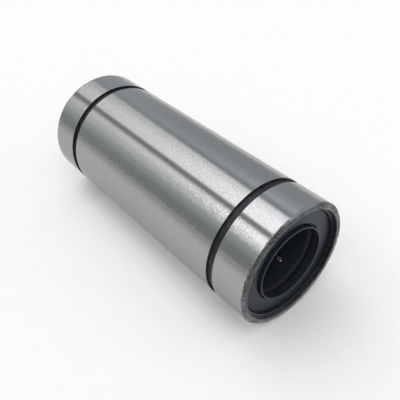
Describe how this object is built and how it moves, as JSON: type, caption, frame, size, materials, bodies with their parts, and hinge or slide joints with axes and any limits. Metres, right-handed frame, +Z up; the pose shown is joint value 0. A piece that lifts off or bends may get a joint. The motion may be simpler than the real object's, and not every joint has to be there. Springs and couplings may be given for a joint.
{
  "type": "linear ball bearing",
  "caption": "Long sealed linear ball bearing: ground steel sleeve with two ring grooves, recirculating ball circuits in resin retainers and a lipped rubber seal at each end.",
  "frame": {"origin": "centre of the sleeve, on the shaft axis at mid length", "axes": "+X along the shaft towards the front end, +Z up, +Y completes the right-handed frame"},
  "size_m": [0.07, 0.028, 0.028],
  "materials": {
    "ground_steel": "ground outside, dark unground groove floors and rough end faces",
    "retainer_resin": "moulded, semi-matt",
    "spring_steel": "blackened spring steel",
    "pressed_steel": "pressed, oiled",
    "seal_rubber": "moulded, matt",
    "ball_steel": "polished bearing balls"
  },
  "bodies": {
    "bearing": {"outer_sleeve": "ground_steel", "front_retainer": "retainer_resin", "front_end_ring": "spring_steel", "front_seal_core": "pressed_steel", "front_seal_rubber": "seal_rubber", "rear_retainer": "retainer_resin", "rear_end_ring": "spring_steel", "rear_seal_core": "pressed_steel", "rear_seal_rubber": "seal_rubber"},
    "front_circuit_1_load_row": {"front_circuit_1_load_balls": "ball_steel"},
    "front_circuit_1_return_row": {"front_circuit_1_return_balls": "ball_steel"},
    "front_circuit_1_outer_turn": {"front_circuit_1_outer_turn_balls": "ball_steel"},
    "front_circuit_1_inner_turn": {"front_circuit_1_inner_turn_balls": "ball_steel"},
    "front_circuit_2_load_row": {"front_circuit_2_load_balls": "ball_steel"},
    "front_circuit_2_return_row": {"front_circuit_2_return_balls": "ball_steel"},
    "front_circuit_2_outer_turn": {"front_circuit_2_outer_turn_balls": "ball_steel"},
    "front_circuit_2_inner_turn": {"front_circuit_2_inner_turn_balls": "ball_steel"},
    "front_circuit_3_load_row": {"front_circuit_3_load_balls": "ball_steel"},
    "front_circuit_3_return_row": {"front_circuit_3_return_balls": "ball_steel"},
    "front_circuit_3_outer_turn": {"front_circuit_3_outer_turn_balls": "ball_steel"},
    "front_circuit_3_inner_turn": {"front_circuit_3_inner_turn_balls": "ball_steel"},
    "front_circuit_4_load_row": {"front_circuit_4_load_balls": "ball_steel"},
    "front_circuit_4_return_row": {"front_circuit_4_return_balls": "ball_steel"},
    "front_circuit_4_outer_turn": {"front_circuit_4_outer_turn_balls": "ball_steel"},
    "front_circuit_4_inner_turn": {"front_circuit_4_inner_turn_balls": "ball_steel"},
    "front_circuit_5_load_row": {"front_circuit_5_load_balls": "ball_steel"},
    "front_circuit_5_return_row": {"front_circuit_5_return_balls": "ball_steel"},
    "front_circuit_5_outer_turn": {"front_circuit_5_outer_turn_balls": "ball_steel"},
    "front_circuit_5_inner_turn": {"front_circuit_5_inner_turn_balls": "ball_steel"},
    "rear_circuit_1_load_row": {"rear_circuit_1_load_balls": "ball_steel"},
    "rear_circuit_1_return_row": {"rear_circuit_1_return_balls": "ball_steel"},
    "rear_circuit_1_outer_turn": {"rear_circuit_1_outer_turn_balls": "ball_steel"},
    "rear_circuit_1_inner_turn": {"rear_circuit_1_inner_turn_balls": "ball_steel"},
    "rear_circuit_2_load_row": {"rear_circuit_2_load_balls": "ball_steel"},
    "rear_circuit_2_return_row": {"rear_circuit_2_return_balls": "ball_steel"},
    "rear_circuit_2_outer_turn": {"rear_circuit_2_outer_turn_balls": "ball_steel"},
    "rear_circuit_2_inner_turn": {"rear_circuit_2_inner_turn_balls": "ball_steel"},
    "rear_circuit_3_load_row": {"rear_circuit_3_load_balls": "ball_steel"},
    "rear_circuit_3_return_row": {"rear_circuit_3_return_balls": "ball_steel"},
    "rear_circuit_3_outer_turn": {"rear_circuit_3_outer_turn_balls": "ball_steel"},
    "rear_circuit_3_inner_turn": {"rear_circuit_3_inner_turn_balls": "ball_steel"},
    "rear_circuit_4_load_row": {"rear_circuit_4_load_balls": "ball_steel"},
    "rear_circuit_4_return_row": {"rear_circuit_4_return_balls": "ball_steel"},
    "rear_circuit_4_outer_turn": {"rear_circuit_4_outer_turn_balls": "ball_steel"},
    "rear_circuit_4_inner_turn": {"rear_circuit_4_inner_turn_balls": "ball_steel"},
    "rear_circuit_5_load_row": {"rear_circuit_5_load_balls": "ball_steel"},
    "rear_circuit_5_return_row": {"rear_circuit_5_return_balls": "ball_steel"},
    "rear_circuit_5_outer_turn": {"rear_circuit_5_outer_turn_balls": "ball_steel"},
    "rear_circuit_5_inner_turn": {"rear_circuit_5_inner_turn_balls": "ball_steel"}
  },
  "joints": [
    {"name": "front_circuit_1_load_roll", "type": "slide", "parent": "bearing", "child": "front_circuit_1_load_row", "axis": [1, 0, 0], "range_m": [-0.00127, 0.00127]},
    {"name": "front_circuit_1_return_roll", "type": "slide", "parent": "bearing", "child": "front_circuit_1_return_row", "axis": [1, 0, 0], "range_m": [-0.00127, 0.00127]},
    {"name": "front_circuit_1_outer_turn_roll", "type": "hinge", "parent": "bearing", "child": "front_circuit_1_outer_turn", "pos_m": [0.02643, 0.00241, 0.00887], "axis": [-0.2419, 0.1325, 0.9612], "range_deg": [-30, 30]},
    {"name": "front_circuit_1_inner_turn_roll", "type": "hinge", "parent": "bearing", "child": "front_circuit_1_inner_turn", "pos_m": [0.00607, 0.00241, 0.00887], "axis": [0.2419, 0.1325, 0.9612], "range_deg": [-30, 30]},
    {"name": "front_circuit_2_load_roll", "type": "slide", "parent": "bearing", "child": "front_circuit_2_load_row", "axis": [1, 0, 0], "range_m": [-0.00127, 0.00127]},
    {"name": "front_circuit_2_return_roll", "type": "slide", "parent": "bearing", "child": "front_circuit_2_return_row", "axis": [1, 0, 0], "range_m": [-0.00127, 0.00127]},
    {"name": "front_circuit_2_outer_turn_roll", "type": "hinge", "parent": "bearing", "child": "front_circuit_2_outer_turn", "pos_m": [0.02643, -0.00769, 0.00503], "axis": [-0.2419, -0.8732, 0.423], "range_deg": [-30, 30]},
    {"name": "front_circuit_2_inner_turn_roll", "type": "hinge", "parent": "bearing", "child": "front_circuit_2_inner_turn", "pos_m": [0.00607, -0.00769, 0.00503], "axis": [0.2419, -0.8732, 0.423], "range_deg": [-30, 30]},
    {"name": "front_circuit_3_load_roll", "type": "slide", "parent": "bearing", "child": "front_circuit_3_load_row", "axis": [1, 0, 0], "range_m": [-0.00127, 0.00127]},
    {"name": "front_circuit_3_return_roll", "type": "slide", "parent": "bearing", "child": "front_circuit_3_return_row", "axis": [1, 0, 0], "range_m": [-0.00127, 0.00127]},
    {"name": "front_circuit_3_outer_turn_roll", "type": "hinge", "parent": "bearing", "child": "front_circuit_3_outer_turn", "pos_m": [0.02643, -0.00716, -0.00576], "axis": [-0.2419, -0.6722, -0.6998], "range_deg": [-30, 30]},
    {"name": "front_circuit_3_inner_turn_roll", "type": "hinge", "parent": "bearing", "child": "front_circuit_3_inner_turn", "pos_m": [0.00607, -0.00716, -0.00576], "axis": [0.2419, -0.6722, -0.6998], "range_deg": [-30, 30]},
    {"name": "front_circuit_4_load_roll", "type": "slide", "parent": "bearing", "child": "front_circuit_4_load_row", "axis": [1, 0, 0], "range_m": [-0.00127, 0.00127]},
    {"name": "front_circuit_4_return_roll", "type": "slide", "parent": "bearing", "child": "front_circuit_4_return_row", "axis": [1, 0, 0], "range_m": [-0.00127, 0.00127]},
    {"name": "front_circuit_4_outer_turn_roll", "type": "hinge", "parent": "bearing", "child": "front_circuit_4_outer_turn", "pos_m": [0.02643, 0.00327, -0.00859], "axis": [-0.2419, 0.4578, -0.8555], "range_deg": [-30, 30]},
    {"name": "front_circuit_4_inner_turn_roll", "type": "hinge", "parent": "bearing", "child": "front_circuit_4_inner_turn", "pos_m": [0.00607, 0.00327, -0.00859], "axis": [0.2419, 0.4578, -0.8555], "range_deg": [-30, 30]},
    {"name": "front_circuit_5_load_roll", "type": "slide", "parent": "bearing", "child": "front_circuit_5_load_row", "axis": [1, 0, 0], "range_m": [-0.00127, 0.00127]},
    {"name": "front_circuit_5_return_roll", "type": "slide", "parent": "bearing", "child": "front_circuit_5_return_row", "axis": [1, 0, 0], "range_m": [-0.00127, 0.00127]},
    {"name": "front_circuit_5_outer_turn_roll", "type": "hinge", "parent": "bearing", "child": "front_circuit_5_outer_turn", "pos_m": [0.02643, 0.00918, 0.00045], "axis": [-0.2419, 0.9551, 0.171], "range_deg": [-30, 30]},
    {"name": "front_circuit_5_inner_turn_roll", "type": "hinge", "parent": "bearing", "child": "front_circuit_5_inner_turn", "pos_m": [0.00607, 0.00918, 0.00045], "axis": [0.2419, 0.9551, 0.171], "range_deg": [-30, 30]},
    {"name": "rear_circuit_1_load_roll", "type": "slide", "parent": "bearing", "child": "rear_circuit_1_load_row", "axis": [1, 0, 0], "range_m": [-0.00127, 0.00127]},
    {"name": "rear_circuit_1_return_roll", "type": "slide", "parent": "bearing", "child": "rear_circuit_1_return_row", "axis": [1, 0, 0], "range_m": [-0.00127, 0.00127]},
    {"name": "rear_circuit_1_outer_turn_roll", "type": "hinge", "parent": "bearing", "child": "rear_circuit_1_outer_turn", "pos_m": [-0.02643, -0.00241, 0.00887], "axis": [0.2419, -0.1325, 0.9612], "range_deg": [-30, 30]},
    {"name": "rear_circuit_1_inner_turn_roll", "type": "hinge", "parent": "bearing", "child": "rear_circuit_1_inner_turn", "pos_m": [-0.00607, -0.00241, 0.00887], "axis": [-0.2419, -0.1325, 0.9612], "range_deg": [-30, 30]},
    {"name": "rear_circuit_2_load_roll", "type": "slide", "parent": "bearing", "child": "rear_circuit_2_load_row", "axis": [1, 0, 0], "range_m": [-0.00127, 0.00127]},
    {"name": "rear_circuit_2_return_roll", "type": "slide", "parent": "bearing", "child": "rear_circuit_2_return_row", "axis": [1, 0, 0], "range_m": [-0.00127, 0.00127]},
    {"name": "rear_circuit_2_outer_turn_roll", "type": "hinge", "parent": "bearing", "child": "rear_circuit_2_outer_turn", "pos_m": [-0.02643, 0.00769, 0.00503], "axis": [0.2419, 0.8732, 0.423], "range_deg": [-30, 30]},
    {"name": "rear_circuit_2_inner_turn_roll", "type": "hinge", "parent": "bearing", "child": "rear_circuit_2_inner_turn", "pos_m": [-0.00607, 0.00769, 0.00503], "axis": [-0.2419, 0.8732, 0.423], "range_deg": [-30, 30]},
    {"name": "rear_circuit_3_load_roll", "type": "slide", "parent": "bearing", "child": "rear_circuit_3_load_row", "axis": [1, 0, 0], "range_m": [-0.00127, 0.00127]},
    {"name": "rear_circuit_3_return_roll", "type": "slide", "parent": "bearing", "child": "rear_circuit_3_return_row", "axis": [1, 0, 0], "range_m": [-0.00127, 0.00127]},
    {"name": "rear_circuit_3_outer_turn_roll", "type": "hinge", "parent": "bearing", "child": "rear_circuit_3_outer_turn", "pos_m": [-0.02643, 0.00716, -0.00576], "axis": [0.2419, 0.6722, -0.6998], "range_deg": [-30, 30]},
    {"name": "rear_circuit_3_inner_turn_roll", "type": "hinge", "parent": "bearing", "child": "rear_circuit_3_inner_turn", "pos_m": [-0.00607, 0.00716, -0.00576], "axis": [-0.2419, 0.6722, -0.6998], "range_deg": [-30, 30]},
    {"name": "rear_circuit_4_load_roll", "type": "slide", "parent": "bearing", "child": "rear_circuit_4_load_row", "axis": [1, 0, 0], "range_m": [-0.00127, 0.00127]},
    {"name": "rear_circuit_4_return_roll", "type": "slide", "parent": "bearing", "child": "rear_circuit_4_return_row", "axis": [1, 0, 0], "range_m": [-0.00127, 0.00127]},
    {"name": "rear_circuit_4_outer_turn_roll", "type": "hinge", "parent": "bearing", "child": "rear_circuit_4_outer_turn", "pos_m": [-0.02643, -0.00327, -0.00859], "axis": [0.2419, -0.4578, -0.8555], "range_deg": [-30, 30]},
    {"name": "rear_circuit_4_inner_turn_roll", "type": "hinge", "parent": "bearing", "child": "rear_circuit_4_inner_turn", "pos_m": [-0.00607, -0.00327, -0.00859], "axis": [-0.2419, -0.4578, -0.8555], "range_deg": [-30, 30]},
    {"name": "rear_circuit_5_load_roll", "type": "slide", "parent": "bearing", "child": "rear_circuit_5_load_row", "axis": [1, 0, 0], "range_m": [-0.00127, 0.00127]},
    {"name": "rear_circuit_5_return_roll", "type": "slide", "parent": "bearing", "child": "rear_circuit_5_return_row", "axis": [1, 0, 0], "range_m": [-0.00127, 0.00127]},
    {"name": "rear_circuit_5_outer_turn_roll", "type": "hinge", "parent": "bearing", "child": "rear_circuit_5_outer_turn", "pos_m": [-0.02643, -0.00918, 0.00045], "axis": [0.2419, -0.9551, 0.171], "range_deg": [-30, 30]},
    {"name": "rear_circuit_5_inner_turn_roll", "type": "hinge", "parent": "bearing", "child": "rear_circuit_5_inner_turn", "pos_m": [-0.00607, -0.00918, 0.00045], "axis": [-0.2419, -0.9551, 0.171], "range_deg": [-30, 30]}
  ],
  "couplings": [
    {"joint": "front_circuit_1_return_roll", "follows": "front_circuit_1_load_roll", "ratio": -1},
    {"joint": "front_circuit_1_outer_turn_roll", "follows": "front_circuit_1_load_roll", "rad_per_m": 411.47},
    {"joint": "front_circuit_1_inner_turn_roll", "follows": "front_circuit_1_load_roll", "rad_per_m": 411.47},
    {"joint": "front_circuit_2_load_roll", "follows": "front_circuit_1_load_roll", "ratio": 1},
    {"joint": "front_circuit_2_return_roll", "follows": "front_circuit_1_load_roll", "ratio": -1},
    {"joint": "front_circuit_2_outer_turn_roll", "follows": "front_circuit_1_load_roll", "rad_per_m": 411.47},
    {"joint": "front_circuit_2_inner_turn_roll", "follows": "front_circuit_1_load_roll", "rad_per_m": 411.47},
    {"joint": "front_circuit_3_load_roll", "follows": "front_circuit_1_load_roll", "ratio": 1},
    {"joint": "front_circuit_3_return_roll", "follows": "front_circuit_1_load_roll", "ratio": -1},
    {"joint": "front_circuit_3_outer_turn_roll", "follows": "front_circuit_1_load_roll", "rad_per_m": 411.47},
    {"joint": "front_circuit_3_inner_turn_roll", "follows": "front_circuit_1_load_roll", "rad_per_m": 411.47},
    {"joint": "front_circuit_4_load_roll", "follows": "front_circuit_1_load_roll", "ratio": 1},
    {"joint": "front_circuit_4_return_roll", "follows": "front_circuit_1_load_roll", "ratio": -1},
    {"joint": "front_circuit_4_outer_turn_roll", "follows": "front_circuit_1_load_roll", "rad_per_m": 411.47},
    {"joint": "front_circuit_4_inner_turn_roll", "follows": "front_circuit_1_load_roll", "rad_per_m": 411.47},
    {"joint": "front_circuit_5_load_roll", "follows": "front_circuit_1_load_roll", "ratio": 1},
    {"joint": "front_circuit_5_return_roll", "follows": "front_circuit_1_load_roll", "ratio": -1},
    {"joint": "front_circuit_5_outer_turn_roll", "follows": "front_circuit_1_load_roll", "rad_per_m": 411.47},
    {"joint": "front_circuit_5_inner_turn_roll", "follows": "front_circuit_1_load_roll", "rad_per_m": 411.47},
    {"joint": "rear_circuit_1_load_roll", "follows": "front_circuit_1_load_roll", "ratio": 1},
    {"joint": "rear_circuit_1_return_roll", "follows": "front_circuit_1_load_roll", "ratio": -1},
    {"joint": "rear_circuit_1_outer_turn_roll", "follows": "front_circuit_1_load_roll", "rad_per_m": -411.47},
    {"joint": "rear_circuit_1_inner_turn_roll", "follows": "front_circuit_1_load_roll", "rad_per_m": -411.47},
    {"joint": "rear_circuit_2_load_roll", "follows": "front_circuit_1_load_roll", "ratio": 1},
    {"joint": "rear_circuit_2_return_roll", "follows": "front_circuit_1_load_roll", "ratio": -1},
    {"joint": "rear_circuit_2_outer_turn_roll", "follows": "front_circuit_1_load_roll", "rad_per_m": -411.47},
    {"joint": "rear_circuit_2_inner_turn_roll", "follows": "front_circuit_1_load_roll", "rad_per_m": -411.47},
    {"joint": "rear_circuit_3_load_roll", "follows": "front_circuit_1_load_roll", "ratio": 1},
    {"joint": "rear_circuit_3_return_roll", "follows": "front_circuit_1_load_roll", "ratio": -1},
    {"joint": "rear_circuit_3_outer_turn_roll", "follows": "front_circuit_1_load_roll", "rad_per_m": -411.47},
    {"joint": "rear_circuit_3_inner_turn_roll", "follows": "front_circuit_1_load_roll", "rad_per_m": -411.47},
    {"joint": "rear_circuit_4_load_roll", "follows": "front_circuit_1_load_roll", "ratio": 1},
    {"joint": "rear_circuit_4_return_roll", "follows": "front_circuit_1_load_roll", "ratio": -1},
    {"joint": "rear_circuit_4_outer_turn_roll", "follows": "front_circuit_1_load_roll", "rad_per_m": -411.47},
    {"joint": "rear_circuit_4_inner_turn_roll", "follows": "front_circuit_1_load_roll", "rad_per_m": -411.47},
    {"joint": "rear_circuit_5_load_roll", "follows": "front_circuit_1_load_roll", "ratio": 1},
    {"joint": "rear_circuit_5_return_roll", "follows": "front_circuit_1_load_roll", "ratio": -1},
    {"joint": "rear_circuit_5_outer_turn_roll", "follows": "front_circuit_1_load_roll", "rad_per_m": -411.47},
    {"joint": "rear_circuit_5_inner_turn_roll", "follows": "front_circuit_1_load_roll", "rad_per_m": -411.47}
  ]
}
